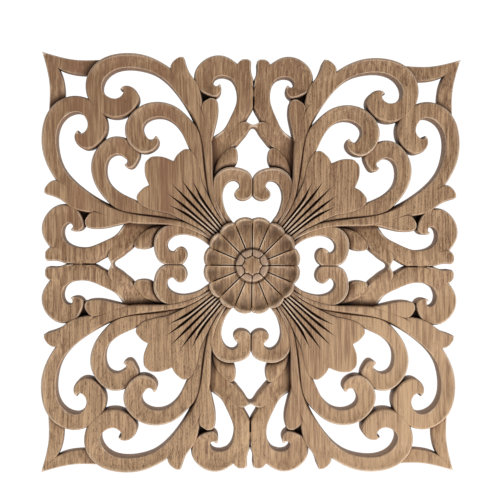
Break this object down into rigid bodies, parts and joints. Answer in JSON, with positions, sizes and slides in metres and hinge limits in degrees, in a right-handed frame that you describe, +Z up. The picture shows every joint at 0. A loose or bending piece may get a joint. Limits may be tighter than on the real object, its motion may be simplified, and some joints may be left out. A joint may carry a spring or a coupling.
{
  "type": "carved wood onlay",
  "caption": "Square pierced panel of carved leaf scrolls round a petalled rosette, fixed by its flat back to furniture, a door or a wall as an ornament.",
  "frame": {"origin": "centre of the flat back", "axes": "+Y into what it is fixed to, -Y out of the carved face, +Z up, X across"},
  "size_m": [0.2, 0.0115, 0.2],
  "materials": {
    "bare_wood": "unfinished, finely sanded, fine straight grain with open pore streaks that run up the panel"
  },
  "bodies": {
    "root": {"carved_onlay": "bare_wood"}
  },
  "joints": []
}
